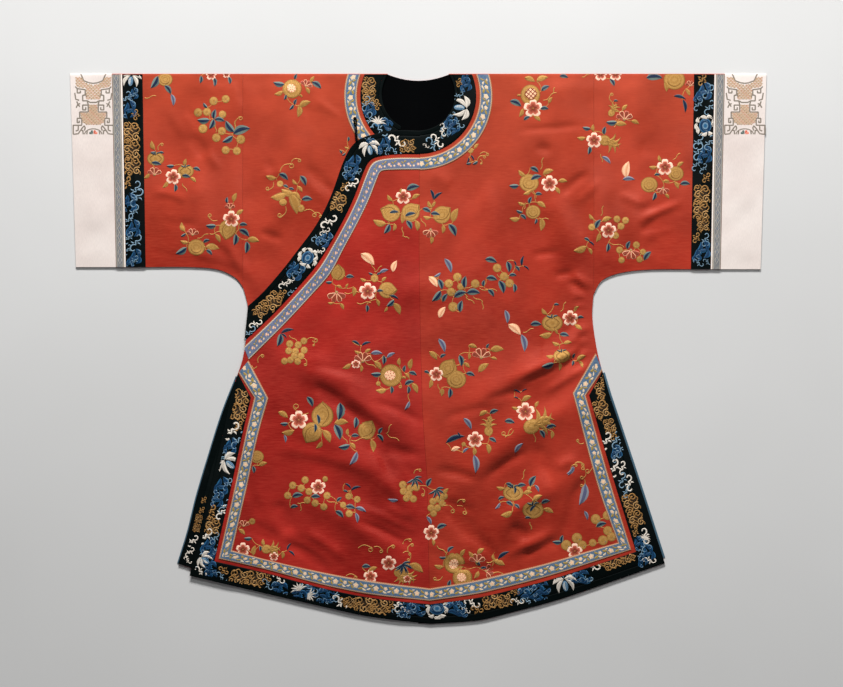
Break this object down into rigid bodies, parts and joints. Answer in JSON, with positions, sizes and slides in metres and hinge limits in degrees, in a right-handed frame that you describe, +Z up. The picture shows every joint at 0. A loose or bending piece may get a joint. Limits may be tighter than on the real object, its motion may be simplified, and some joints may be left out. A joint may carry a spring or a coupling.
{
  "type": "ao short robe",
  "caption": "Embroidered ao short robe laid flat: wide sleeves with deep pale cuffs, flap closing to the wearer's right, side slits and banded, ribboned edges.",
  "frame": {"origin": "middle of the robe's box, on the surface it lies on", "axes": "+X towards the wearer's left sleeve, +Y towards the shoulder fold, +Z up out of the front"},
  "size_m": [1.322, 1.045, 0.0141],
  "materials": {
    "red_satin": "satin",
    "black_satin": "satin",
    "black_binding": "satin",
    "blue_ribbon": "satin",
    "cream_silk": "satin",
    "white_piping": "satin",
    "blue_lining": "satin",
    "black_cord": "matte"
  },
  "bodies": {
    "root": {"body_left": "red_satin", "body_right": "red_satin", "button_knot": "black_cord", "button_loop": "black_cord", "cuff_left": "cream_silk", "cuff_right": "cream_silk", "flap_band": "black_satin", "flap_binding": "black_binding", "flap_ribbon": "blue_ribbon", "front_overlap": "red_satin", "lining_edge_left": "blue_lining", "lining_edge_right": "blue_lining", "neck_band_left": "black_satin", "neck_band_right": "black_satin", "neck_binding_left": "black_binding", "neck_binding_right": "black_binding", "neck_ribbon_left": "blue_ribbon", "neck_ribbon_right": "blue_ribbon", "skirt_band_left": "black_satin", "skirt_band_right": "black_satin", "skirt_binding_left": "black_binding", "skirt_binding_right": "black_binding", "skirt_ribbon_left": "blue_ribbon", "skirt_ribbon_right": "blue_ribbon", "sleeve_band_left": "black_satin", "sleeve_band_right": "black_satin", "sleeve_left": "red_satin", "sleeve_piping_left": "white_piping", "sleeve_piping_right": "white_piping", "sleeve_ribbon_left": "blue_ribbon", "sleeve_ribbon_right": "blue_ribbon", "sleeve_right": "red_satin", "underlap_band": "black_satin", "underlap_binding": "black_binding"}
  },
  "joints": []
}
